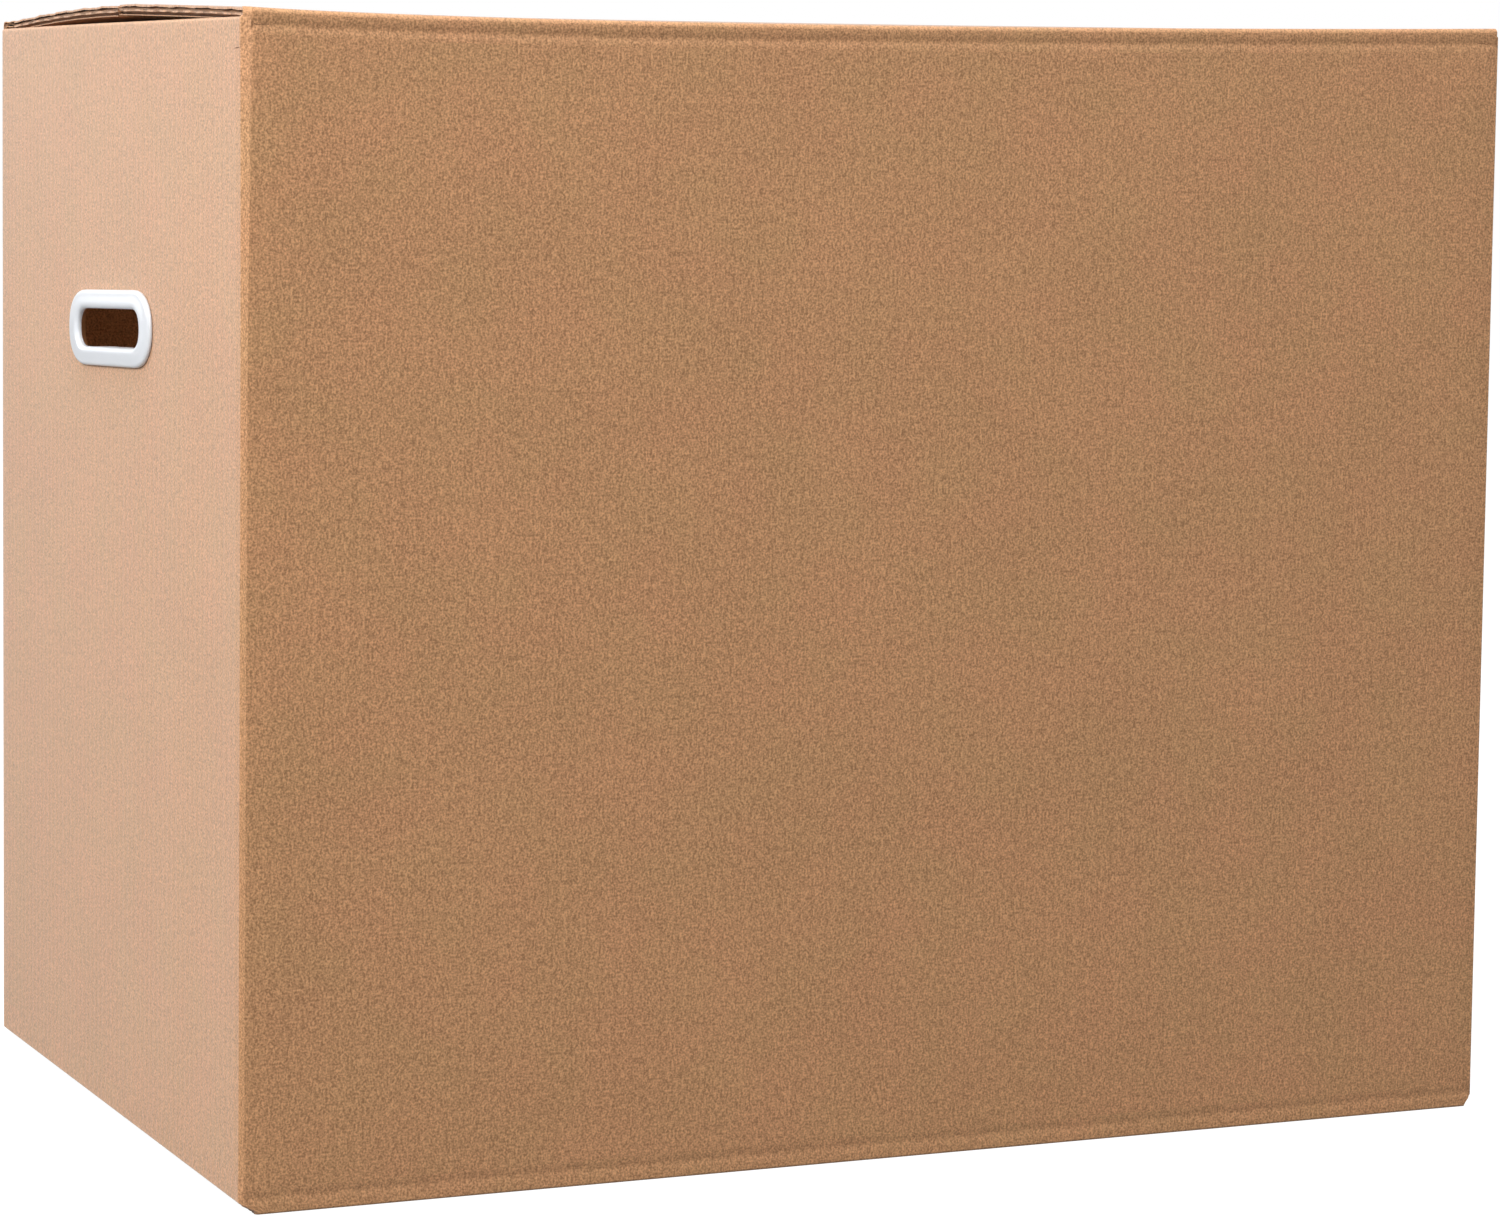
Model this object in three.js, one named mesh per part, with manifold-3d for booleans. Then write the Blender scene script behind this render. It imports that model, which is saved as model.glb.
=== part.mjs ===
// Moving box: a regular slotted carton, folded from one sheet of double-wall corrugated board,
// with a moulded plastic hand-hold snapped into each end panel.
//
// Millimetres, +Z up. The origin is on the floor under the middle of the box.
// X runs along the long panels, Y along the end panels. The front panel faces -Y.
//
// The sheet has four panels, each with a flap above and below. The inner flaps grow from the end
// panels and are folded first. The outer flaps grow from the long panels, are folded over them and
// meet in the middle. The two outer flaps on top hinge on their creases, so each is a piece of its
// own; the rest of the sheet, glued into a ring at one corner, is one piece.

import * as THREE from "three";
import { mergeVertices } from "three/addons/utils/BufferGeometryUtils.js";
import Module from "manifold-3d";

// The box, measured outside, with the flaps shut flat
const LENGTH = 600;
const WIDTH = 400;
const HEIGHT = 500;

// The board and its folds
const BOARD = 5;
const LINER = 0.45;
const MEDIUM = 0.3;
const FLUTE_PITCH = 7;
const FOLD_RADIUS = 4;
const CREASE_RADIUS = 2.5;
const CLEARANCE = 0.3;

// The narrow cuts between neighbouring flaps, how deep they go below the top and above the bottom,
// and the gap where two outer flaps meet
const SLOT_INSET = 3;
const SLOT_DEPTH = 4;
const SEAM = 2;
const INNER_FLAP_DEPTH = 200;

// The shallow score line pressed into the long panels beside each crease
const SCORE_FROM_FOLD = 7.5;
const SCORE_WIDTH = 3;
const SCORE_DEPTH = 0.5;

// How far a top outer flap springs up when nothing holds it shut
const FLAP_REST_DEGREES = 1.1;

// The corner where the sheet's two ends are glued together
const GLUE_TAB_WIDTH = 38;
const GLUE_TAB_THICKNESS = 3.5;
const GLUE_TAB_BEVEL = 12;
const RAW_EDGE_SETBACK = 0.5;

// The plastic hand-hold: a domed flange round a long hole, held by snap tongues. Its flange is wider
// at the two ends than above and below.
const HANDLE_LENGTH = 135;
const HANDLE_HEIGHT = 34.5;
const HANDLE_END_CURVE = 28;
const HANDLE_BELOW_TOP = 141;
const HOLE_LENGTH = 96;
const HOLE_HEIGHT = 17;
const HOLE_END_CURVE = 13;
const END_FULLNESS = 2.3;
const BOARD_HOLE_LENGTH = 119;
const FLANGE_THICKNESS = 2.6;
const LIP_WALL = 1.8;
const LIP_DEPTH = 1;
const TONGUE_COUNT = 3;
const TONGUE_WIDTH = 14;
const TONGUE_PITCH = 24;
const BARB_CATCH = 1.6;
const BARB_LENGTH = 2.7;

// Worked out from the sizes above
const HALF_LENGTH = LENGTH / 2;
const HALF_WIDTH = WIDTH / 2;
const OUTER_FLAP_HALF = HALF_LENGTH - SLOT_INSET;
const INNER_FLAP_HALF = HALF_WIDTH - SLOT_INSET;
const OUTER_FLAP_DEPTH = HALF_WIDTH - SEAM / 2;
const INNER_FLAP_TOP = HEIGHT - BOARD - CLEARANCE;
const INNER_FLAP_BOTTOM = BOARD + CLEARANCE;
const FOLD_ZONE = 3 * BOARD;
const FLUTE_HEIGHT = (BOARD - 3 * LINER) / 2;
const MITRE_GAP = CLEARANCE / Math.SQRT2;
const FLANGE_WIDTH = (HANDLE_HEIGHT - HOLE_HEIGHT) / 2;

const SMALL_ARC = 3;
const ROUND_END_STEPS = 12;

const wasm = await Module();
wasm.setup();

// A closed three.js geometry as a solid that can be joined and cut
function solidOf(geometry) {
  const bare = geometry.index ? geometry.toNonIndexed() : geometry.clone();
  bare.deleteAttribute("normal");
  bare.deleteAttribute("uv");
  const merged = mergeVertices(bare, 1e-4);
  return new wasm.Manifold(
    new wasm.Mesh({
      numProp: 3,
      vertProperties: merged.attributes.position.array,
      triVerts: new Uint32Array(merged.index.array),
    }),
  );
}

// A joined or cut solid as a flat-shaded three.js geometry
function geometryOf(solid) {
  const mesh = solid.getMesh();
  const indexed = new THREE.BufferGeometry();
  indexed.setAttribute("position", new THREE.BufferAttribute(mesh.vertProperties, 3));
  indexed.setIndex(new THREE.BufferAttribute(mesh.triVerts, 1));
  const flat = indexed.toNonIndexed();
  flat.computeVertexNormals();
  return flat;
}

function shapeFrom(points) {
  return new THREE.Shape(points.map(([x, y]) => new THREE.Vector2(x, y)));
}

// A shape drawn in plan, raised from one height to another
function raised(shape, low, high, curveSegments = SMALL_ARC) {
  const geometry = new THREE.ExtrudeGeometry(shape, {
    depth: high - low,
    bevelEnabled: false,
    curveSegments,
  });
  return geometry.translate(0, 0, low);
}

// A side view drawn in Y and Z, run along X from one place to another
function runAlongX(shape, from, to, curveSegments = SMALL_ARC) {
  const turn = new THREE.Matrix4().makeBasis(
    new THREE.Vector3(0, 1, 0),
    new THREE.Vector3(0, 0, 1),
    new THREE.Vector3(1, 0, 0),
  );
  return raised(shape, from, to, curveSegments).applyMatrix4(turn);
}

// An end view drawn in X and Z, run along Y from one place to another
function runAlongY(shape, from, to, curveSegments = SMALL_ARC) {
  const turn = new THREE.Matrix4().makeBasis(
    new THREE.Vector3(1, 0, 0),
    new THREE.Vector3(0, 0, 1),
    new THREE.Vector3(0, -1, 0),
  );
  return raised(shape, -to, -from, curveSegments).applyMatrix4(turn);
}

// Half the pieces of the box are the mirror image of the other half: a half turn about Z
function turnedRound(geometry) {
  return geometry.clone().rotateZ(Math.PI);
}

// The four panels in plan. Three corners are plain folds. At the fourth the end panel's raw edge
// shows beside the fold of the long panel, whose glue tab passes behind it.
function panelSection() {
  const x = HALF_LENGTH;
  const y = HALF_WIDTH;
  const r = FOLD_RADIUS;
  const rawEdge = y - RAW_EDGE_SETBACK;
  const channelDepth = 3 * LINER + FLUTE_HEIGHT / 2;
  const grooveAngle = Math.PI / 9;
  const tabFold = new THREE.Vector2(x - BOARD - r, y - r);

  const section = new THREE.Shape();
  section.moveTo(-x + r, -y);
  section.lineTo(x - r, -y);
  section.absarc(x - r, -y + r, r, -Math.PI / 2, 0, false);
  section.lineTo(x, rawEdge);
  for (const ply of [0, 1]) {
    const outer = x - LINER - ply * (LINER + FLUTE_HEIGHT);
    const inner = outer - FLUTE_HEIGHT;
    section.lineTo(outer, rawEdge);
    section.lineTo(outer, rawEdge - channelDepth);
    section.lineTo(inner, rawEdge - channelDepth);
    section.lineTo(inner, rawEdge);
  }
  section.lineTo(x - BOARD, rawEdge);
  section.lineTo(x - BOARD, tabFold.y + r * Math.sin(grooveAngle));
  section.absarc(tabFold.x, tabFold.y, r, grooveAngle, Math.PI / 2, false);
  section.lineTo(-x + r, y);
  section.absarc(-x + r, y - r, r, Math.PI / 2, Math.PI, false);
  section.lineTo(-x, -y + r);
  section.absarc(-x + r, -y + r, r, Math.PI, 1.5 * Math.PI, false);

  const innerX = x - BOARD;
  const innerY = y - BOARD;
  section.holes.push(
    new THREE.Path([
      new THREE.Vector2(-innerX, -innerY),
      new THREE.Vector2(-innerX, innerY),
      new THREE.Vector2(innerX, innerY),
      new THREE.Vector2(innerX, -innerY),
    ]),
  );
  return section;
}

// The posts left standing between the flap slots at the four corners
function cornerPosts() {
  const posts = solidOf(raised(panelSection(), SLOT_DEPTH, HEIGHT - SLOT_DEPTH));
  const size = 2 * SLOT_INSET;
  const corners = [];
  for (const x of [-HALF_LENGTH, HALF_LENGTH]) {
    for (const y of [-HALF_WIDTH, HALF_WIDTH]) {
      const corner = new THREE.BoxGeometry(size, size, HEIGHT);
      corners.push(solidOf(corner.translate(x, y, HEIGHT / 2)));
    }
  }
  return posts.intersect(wasm.Manifold.union(corners));
}

// An end panel's fold and the inner flap that grows from it, in X and Z, for the -X end.
// The fold's outside corner is at the given height, and the panel goes up or down from there.
function innerFlapProfile(foldHeight, panelGoes) {
  const r = FOLD_RADIUS;
  const panelEnd = foldHeight + panelGoes * FOLD_ZONE;
  const outside = -HALF_LENGTH;
  const profile = new THREE.Shape();
  profile.moveTo(outside, panelEnd);
  profile.lineTo(outside, foldHeight + panelGoes * r);
  const towardFold = panelGoes > 0 ? 1.5 * Math.PI : Math.PI / 2;
  profile.absarc(outside + r, foldHeight + panelGoes * r, r, Math.PI, towardFold, panelGoes < 0);
  profile.lineTo(outside + INNER_FLAP_DEPTH, foldHeight);
  profile.lineTo(outside + INNER_FLAP_DEPTH, foldHeight + panelGoes * BOARD);
  profile.lineTo(outside + BOARD, foldHeight + panelGoes * BOARD);
  profile.lineTo(outside + BOARD, panelEnd);
  return profile;
}

// A long panel's lower fold and the outer flap under it, in Y and Z, for the front
function bottomFlapProfile() {
  const r = FOLD_RADIUS;
  const outside = -HALF_WIDTH;
  const profile = new THREE.Shape();
  profile.moveTo(outside, FOLD_ZONE + BOARD);
  profile.lineTo(outside, r);
  profile.absarc(outside + r, r, r, Math.PI, 1.5 * Math.PI, false);
  profile.lineTo(outside + OUTER_FLAP_DEPTH, 0);
  profile.lineTo(outside + OUTER_FLAP_DEPTH, BOARD);
  profile.lineTo(outside + BOARD, BOARD);
  profile.lineTo(outside + BOARD, FOLD_ZONE + BOARD);
  return profile;
}

// Half of a creased corner, seen along the crease, which is at (0, 0). The board runs along the
// first axis with its outside up, and its end is crushed to a mitre with a rounded outside corner.
function creasedBoard(length) {
  const r = CREASE_RADIUS;
  const mitreAngle = 0.75 * Math.PI - Math.asin(MITRE_GAP / (Math.SQRT2 * r));
  const profile = new THREE.Shape();
  profile.moveTo(BOARD + MITRE_GAP, -BOARD);
  profile.lineTo(length, -BOARD);
  profile.lineTo(length, 0);
  profile.lineTo(SCORE_FROM_FOLD + SCORE_WIDTH / 2, 0);
  profile.lineTo(SCORE_FROM_FOLD, -SCORE_DEPTH);
  profile.lineTo(SCORE_FROM_FOLD - SCORE_WIDTH / 2, 0);
  profile.absarc(r, -r, r, Math.PI / 2, mitreAngle, false);
  return profile;
}

// A long panel's upper edge: the same creased end, standing up under the flap's
function panelTopEdge() {
  const standing = new THREE.Matrix4().makeBasis(
    new THREE.Vector3(0, 0, -1),
    new THREE.Vector3(0, -1, 0),
    new THREE.Vector3(-1, 0, 0),
  );
  const flat = raised(creasedBoard(FOLD_ZONE + BOARD), -OUTER_FLAP_HALF, OUTER_FLAP_HALF);
  return flat.applyMatrix4(standing).translate(0, -HALF_WIDTH, HEIGHT);
}

// The tab that laps behind the end panel at the glued corner, with its two ends cut at a slant
function glueTab() {
  const inner = HALF_WIDTH - BOARD;
  const low = FOLD_ZONE;
  const high = HEIGHT - FOLD_ZONE;
  const outline = shapeFrom([
    [inner - GLUE_TAB_WIDTH, low + GLUE_TAB_BEVEL],
    [inner, low],
    [inner, high],
    [inner - GLUE_TAB_WIDTH, high - GLUE_TAB_BEVEL],
  ]);
  const face = HALF_LENGTH - BOARD;
  return runAlongX(outline, face - GLUE_TAB_THICKNESS, face + LINER);
}

// A long outline about the middle of the hand-hold, round once, as points along and up. It has
// straight sides, and its ends are ellipses filled out a little towards their corners.
function longOutline(length, height, endCurve) {
  const fuller = (value) => Math.sign(value) * Math.abs(value) ** (2 / END_FULLNESS);
  const straight = length / 2 - endCurve;
  const points = [];
  for (const side of [1, -1]) {
    for (let step = 0; step <= ROUND_END_STEPS; step++) {
      const angle = (step / ROUND_END_STEPS - 0.5) * Math.PI;
      const along = straight + endCurve * fuller(Math.max(Math.cos(angle), 0));
      points.push([side * along, (side * height * fuller(Math.sin(angle))) / 2]);
    }
  }
  return points;
}

// The moulding's outlines run from its hole at 0 out to its rim at 1
function handleOutline(outward) {
  const between = THREE.MathUtils.lerp;
  return longOutline(
    between(HOLE_LENGTH, HANDLE_LENGTH, outward),
    between(HOLE_HEIGHT, HANDLE_HEIGHT, outward),
    between(HOLE_END_CURVE, HANDLE_END_CURVE, outward),
  );
}

// The hole through the board fits the moulding closely above and below. At the two ends the wide
// flange covers more, so the hole is longer there.
function handHoleCut() {
  const reach = HALF_LENGTH + BOARD;
  const height = HOLE_HEIGHT + 2 * (LIP_WALL + CLEARANCE);
  const outline = shapeFrom(longOutline(BOARD_HOLE_LENGTH, height, HOLE_END_CURVE));
  return runAlongX(outline, -reach, reach).translate(0, 0, HEIGHT - HANDLE_BELOW_TOP);
}

// The pressed score line along the bottom of a long panel, as the groove's own solid
function bottomScore() {
  const groove = shapeFrom([
    [-HALF_WIDTH - SCORE_DEPTH, SCORE_FROM_FOLD - SCORE_WIDTH],
    [-HALF_WIDTH + SCORE_DEPTH, SCORE_FROM_FOLD],
    [-HALF_WIDTH - SCORE_DEPTH, SCORE_FROM_FOLD + SCORE_WIDTH],
  ]);
  return runAlongX(groove, -OUTER_FLAP_HALF, OUTER_FLAP_HALF);
}

function cartonBody() {
  const upperInner = innerFlapProfile(INNER_FLAP_TOP, -1);
  const lowerInner = innerFlapProfile(INNER_FLAP_BOTTOM, 1);
  const halves = [
    runAlongY(upperInner, -INNER_FLAP_HALF, INNER_FLAP_HALF),
    runAlongY(lowerInner, -INNER_FLAP_HALF, INNER_FLAP_HALF),
    runAlongX(bottomFlapProfile(), -OUTER_FLAP_HALF, OUTER_FLAP_HALF),
    panelTopEdge(),
  ];
  const joined = [
    solidOf(raised(panelSection(), FOLD_ZONE, HEIGHT - FOLD_ZONE)),
    cornerPosts(),
    solidOf(glueTab()),
  ];
  for (const half of halves) {
    joined.push(solidOf(half), solidOf(turnedRound(half)));
  }
  const cuts = [handHoleCut(), bottomScore(), turnedRound(bottomScore())];
  return wasm.Manifold.union(joined).subtract(wasm.Manifold.union(cuts.map(solidOf)));
}

// The open cells of the corrugated core, seen along the flutes. Between two liners the medium
// waves up and down, so cells with their wide side up and wide side down take turns.
function fluteCells(length) {
  const pitch = length / Math.round(length / FLUTE_PITCH);
  const mediumAcross = 1.6 * MEDIUM;
  const narrow = pitch / 12;
  const wide = pitch / 2 - mediumAcross - narrow;
  const cells = [];
  for (const ply of [0, 1]) {
    const top = -LINER - ply * (LINER + FLUTE_HEIGHT);
    const bottom = top - FLUTE_HEIGHT;
    for (let k = 0; k <= Math.round(length / (pitch / 2)); k++) {
      const x = -length / 2 + (k * pitch) / 2;
      const wideSideUp = (k + ply) % 2 === 0;
      const wideAt = wideSideUp ? top : bottom;
      const narrowAt = wideSideUp ? bottom + MEDIUM : top - MEDIUM;
      const corners = [
        [x - wide, wideAt],
        [x + wide, wideAt],
        [x + narrow, narrowAt],
        [x - narrow, narrowAt],
      ];
      cells.push(shapeFrom(wideSideUp ? corners.reverse() : corners));
    }
  }
  return cells;
}

// A top outer flap lying flat, with its crease on the X axis and the flap towards +Y. The flutes
// run from the crease to the free edge, and the score has crushed them shut near the crease.
function outerFlap() {
  const half = OUTER_FLAP_HALF - CLEARANCE;
  const board = runAlongX(creasedBoard(OUTER_FLAP_DEPTH), -half, half);
  const crushed = SCORE_FROM_FOLD + SCORE_WIDTH;
  const cells = runAlongY(fluteCells(2 * half), crushed, OUTER_FLAP_DEPTH + BOARD);
  return solidOf(board).subtract(solidOf(cells));
}

// The hand-hold's ring in section, cut above the hole: each pair is a distance out from the hole's
// edge and a height above the board, so a negative height is inside the board's hole.
function ringProfile() {
  const dome = FLANGE_THICKNESS;
  return [
    [0, dome - 1.1],
    [0, -LIP_DEPTH],
    [LIP_WALL, -LIP_DEPTH],
    [LIP_WALL, CLEARANCE],
    [FLANGE_WIDTH, CLEARANCE],
    [FLANGE_WIDTH, CLEARANCE + 0.7],
    [FLANGE_WIDTH - 0.6, dome - 0.9],
    [FLANGE_WIDTH - 1.8, dome - 0.35],
    [FLANGE_WIDTH - 3.6, dome - 0.05],
    [2.2, dome],
    [1, dome - 0.15],
    [0.3, dome - 0.5],
  ];
}

// The ring profile carried round the hole. Local X is along the hole, Z away from the board.
function handleRing() {
  const profile = ringProfile();
  const loops = profile.map(([out]) => handleOutline(out / FLANGE_WIDTH));
  const stations = loops[0];
  const positions = [];
  for (let i = 0; i < stations.length; i++) {
    for (let j = 0; j < profile.length; j++) {
      positions.push(...loops[j][i], profile[j][1]);
    }
  }
  const indices = [];
  const across = profile.length;
  for (let i = 0; i < stations.length; i++) {
    const next = (i + 1) % stations.length;
    for (let j = 0; j < across; j++) {
      const k = (j + 1) % across;
      const [a, b, c, d] = [i * across + j, next * across + j, next * across + k, i * across + k];
      indices.push(a, b, c, a, c, d);
    }
  }
  const ring = new THREE.BufferGeometry();
  ring.setAttribute("position", new THREE.Float32BufferAttribute(positions, 3));
  ring.setIndex(indices);
  return ring;
}

// One snap tongue: it passes through the board and hooks over the inside liner with a barb
function snapTongue(along) {
  const edge = HOLE_HEIGHT / 2;
  const catchAt = -BOARD - CLEARANCE;
  const tip = catchAt - BARB_LENGTH;
  const profile = shapeFrom([
    [edge, 0],
    [edge, tip],
    [edge + LIP_WALL * 0.7, tip],
    [edge + LIP_WALL + BARB_CATCH, catchAt - CLEARANCE],
    [edge + LIP_WALL + BARB_CATCH, catchAt],
    [edge + LIP_WALL, catchAt],
    [edge + LIP_WALL, 0],
  ]);
  return runAlongX(profile, along - TONGUE_WIDTH / 2, along + TONGUE_WIDTH / 2);
}

function handle() {
  const pieces = [solidOf(handleRing())];
  for (let k = 0; k < TONGUE_COUNT; k++) {
    const tongue = snapTongue((k - (TONGUE_COUNT - 1) / 2) * TONGUE_PITCH);
    pieces.push(solidOf(tongue), solidOf(turnedRound(tongue)));
  }
  return wasm.Manifold.union(pieces);
}

const kraft = new THREE.MeshStandardMaterial({ color: 0xb08a64, roughness: 0.86, metalness: 0 });
const whitePlastic = new THREE.MeshStandardMaterial({
  color: 0xe9ecef,
  roughness: 0.35,
  metalness: 0,
});

function part(name, solid, material) {
  const mesh = new THREE.Mesh(geometryOf(solid), material.clone());
  mesh.name = name;
  return mesh;
}

const movingBox = new THREE.Group();
movingBox.add(part("carton_body", cartonBody(), kraft));

// Each top flap hangs on the crease at the outside top edge of its long panel
const flap = outerFlap();
for (const [name, side] of [["top_flap_front", -1], ["top_flap_back", 1]]) {
  const crease = new THREE.Group();
  crease.position.set(0, side * HALF_WIDTH, HEIGHT);
  crease.rotation.z = side > 0 ? Math.PI : 0;
  const mesh = part(name, flap, kraft);
  mesh.rotation.x = THREE.MathUtils.degToRad(FLAP_REST_DEGREES);
  crease.add(mesh);
  movingBox.add(crease);
}

// Each hand-hold faces outwards from its end panel, with its hole lying level
const handHold = handle();
for (const [name, side] of [["handle_left", -1], ["handle_right", 1]]) {
  const mesh = part(name, handHold, whitePlastic);
  const outward = new THREE.Vector3(side, 0, 0);
  const level = new THREE.Vector3(0, side, 0);
  const up = new THREE.Vector3(0, 0, 1);
  mesh.setRotationFromMatrix(new THREE.Matrix4().makeBasis(level, up, outward));
  mesh.position.set(side * HALF_LENGTH, 0, HEIGHT - HANDLE_BELOW_TOP);
  movingBox.add(mesh);
}

export default movingBox;
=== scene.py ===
import math

import bmesh
import bpy
import numpy as np
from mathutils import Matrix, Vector


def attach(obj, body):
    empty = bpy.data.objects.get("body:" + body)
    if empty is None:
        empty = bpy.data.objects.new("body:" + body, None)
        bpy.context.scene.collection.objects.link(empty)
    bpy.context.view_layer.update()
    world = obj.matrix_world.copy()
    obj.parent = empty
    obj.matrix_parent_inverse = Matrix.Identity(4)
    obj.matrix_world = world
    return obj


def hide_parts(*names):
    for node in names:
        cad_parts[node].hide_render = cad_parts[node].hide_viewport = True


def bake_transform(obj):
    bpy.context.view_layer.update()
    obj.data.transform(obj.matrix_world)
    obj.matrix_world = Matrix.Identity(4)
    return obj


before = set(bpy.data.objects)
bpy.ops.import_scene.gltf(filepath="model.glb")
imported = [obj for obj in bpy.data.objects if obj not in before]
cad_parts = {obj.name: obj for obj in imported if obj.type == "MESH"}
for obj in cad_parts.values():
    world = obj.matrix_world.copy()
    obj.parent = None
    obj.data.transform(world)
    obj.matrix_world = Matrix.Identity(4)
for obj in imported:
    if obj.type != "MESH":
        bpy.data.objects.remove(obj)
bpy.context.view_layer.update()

# The four panels
# One sheet of double-wall corrugated board, slotted and creased flat on a press, then folded into a
# ring of two long and two short panels and glued at one corner. The ring stops a little short of
# the top and bottom, where the creases begin. Sizes of the box are in millimetres.

MM = 0.001
LENGTH = 600
WIDTH = 400
HEIGHT = 500
BOARD = 5
FLUTE_PITCH = 7
CLEARANCE = 0.3
CREASE_ZONE = 11
HALF_LENGTH = LENGTH / 2
HALF_WIDTH = WIDTH / 2
INNER_FLAP_TOP = HEIGHT - BOARD - CLEARANCE
INNER_FLAP_BOTTOM = BOARD + CLEARANCE


def face_outwards(mesh):
    """Turn every face of a mesh so that it points out."""
    turner = bmesh.new()
    turner.from_mesh(mesh)
    bmesh.ops.recalc_face_normals(turner, faces=turner.faces)
    turner.to_mesh(mesh)
    turner.free()


def slab(upper, lower, uv):
    """A closed thin solid between two grids of points that match, with a place on the flat sheet."""
    rows, columns = upper.shape[:2]
    count = rows * columns
    index = np.arange(count).reshape(rows, columns)
    corners = [index[:-1, :-1], index[1:, :-1], index[1:, 1:], index[:-1, 1:]]
    quads = np.stack([c.ravel() for c in corners], axis=1)
    rim = np.concatenate([index[0, :-1], index[:-1, -1], index[-1, :0:-1], index[:0:-1, 0]])
    after = np.roll(rim, -1)
    sides = np.stack([rim, after, after + count, rim + count], axis=1)
    faces = np.concatenate([quads, quads[:, ::-1] + count, sides])
    points = np.concatenate([upper.reshape(-1, 3), lower.reshape(-1, 3)])
    return points, faces, np.concatenate([uv.reshape(-1, 2)] * 2)


def piece(name, solids, materials, smooth_angle=35):
    """One object from a list of solids, with the flat sheet's place as its UV map. A solid is its
    points, faces and flat places, and may say which of the materials it has."""
    offset = 0
    points, faces, places, slots = [], [], [], []
    for solid_points, solid_faces, uv, *which in solids:
        points.append(solid_points)
        faces.append(solid_faces + offset)
        places.append(uv)
        slots += [which[0] if which else 0] * len(solid_faces)
        offset += len(solid_points)
    points = np.concatenate(points) * MM
    faces = np.concatenate(faces)
    places = np.concatenate(places) * MM
    mesh = bpy.data.meshes.new(name)
    mesh.from_pydata(points.tolist(), [], faces.tolist())
    for material in materials:
        mesh.materials.append(material)
    mesh.polygons.foreach_set("material_index", slots)
    layer = mesh.uv_layers.new(name="sheet")
    layer.data.foreach_set("uv", places[faces.ravel()].ravel())
    face_outwards(mesh)
    mesh.polygons.foreach_set("use_smooth", [True] * len(mesh.polygons))
    mesh.set_sharp_from_angle(angle=math.radians(smooth_angle))
    made = bpy.data.objects.new(name, mesh)
    bpy.context.scene.collection.objects.link(made)
    return made


def smoothstep(low, high, value):
    """A soft step from 0 at low to 1 at high. It falls instead where low is the larger one."""
    t = np.clip((value - low) / (high - low), 0, 1)
    return t * t * (3 - 2 * t)


FRONT_SAG = 1.35
FRONT_TILT = 0.0075
FRONT_BOW = 2.45e-5
LEFT_CORNER_RISE = 2.3
LEFT_CORNER_REACH = 52
BACK_SAG = 0.4
MOST_FLAT_LIFT = 0.1
CREASE_LIFT_ENDS = 8
CREASE_LIFT_FULL = 3
SETTLING_STARTS = HEIGHT * 0.6
SETTLING_FULL = HEIGHT * 0.98


def settled(points):
    """The board is never quite true: the front's top edge sags in the middle and lifts towards the
    right, and its left corner stands a little proud. The back has sagged evenly. Only the crease
    itself stands above true, so a flap folded right back still clears the panel."""
    x = points[..., 0]
    left_corner = LEFT_CORNER_RISE * np.exp(-(x + HALF_LENGTH) / LEFT_CORNER_REACH)
    front = -FRONT_SAG + FRONT_TILT * x + FRONT_BOW * x**2 + left_corner
    back_share = np.clip(points[..., 1] / WIDTH + 0.5, 0, 1)
    lift = front * (1 - back_share) - BACK_SAG * back_share
    flat_lift = np.minimum(lift, MOST_FLAT_LIFT)
    at_crease = smoothstep(CREASE_LIFT_ENDS, CREASE_LIFT_FULL, HALF_WIDTH + points[..., 1])
    lift = flat_lift + (lift - flat_lift) * at_crease
    moved = points.copy()
    moved[..., 2] += lift * smoothstep(SETTLING_STARTS, SETTLING_FULL, points[..., 2])
    return moved


# The kraft paper is brown, with fine mottling and darker fibres. The flutes show faintly through it
# as upright stripes, and the paper is lighter along each fold: partly stretched by the fold, partly a
# painted highlight where the rounded fold catches the light.

def group(name, inputs, outputs):
    """An empty node group with its sockets, and its input and output nodes."""
    tree = bpy.data.node_groups.new(name, "ShaderNodeTree")
    for socket_name, kind in inputs:
        tree.interface.new_socket(name=socket_name, in_out="INPUT", socket_type=kind)
    for socket_name, kind in outputs:
        tree.interface.new_socket(name=socket_name, in_out="OUTPUT", socket_type=kind)
    return tree, tree.nodes.new("NodeGroupInput"), tree.nodes.new("NodeGroupOutput")


def add_node(tree, kind, links=None, **settings):
    """A node with its settings and its sockets: a value is set and a socket is linked."""
    made = tree.nodes.new(kind)
    for name, value in settings.items():
        setattr(made, name, value)
    for name, value in (links or {}).items():
        socket = made.inputs[name]
        if isinstance(value, bpy.types.NodeSocket):
            tree.links.new(value, socket)
        else:
            socket.default_value = value
    return made


def math_node(tree, operation, first, second=None, third=None):
    """The result of a sum on two or three sockets or values."""
    made = tree.nodes.new("ShaderNodeMath")
    made.operation = operation
    for slot, value in enumerate((first, second, third)):
        if isinstance(value, bpy.types.NodeSocket):
            tree.links.new(value, made.inputs[slot])
        elif value is not None:
            made.inputs[slot].default_value = value
    return made.outputs[0]


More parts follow.
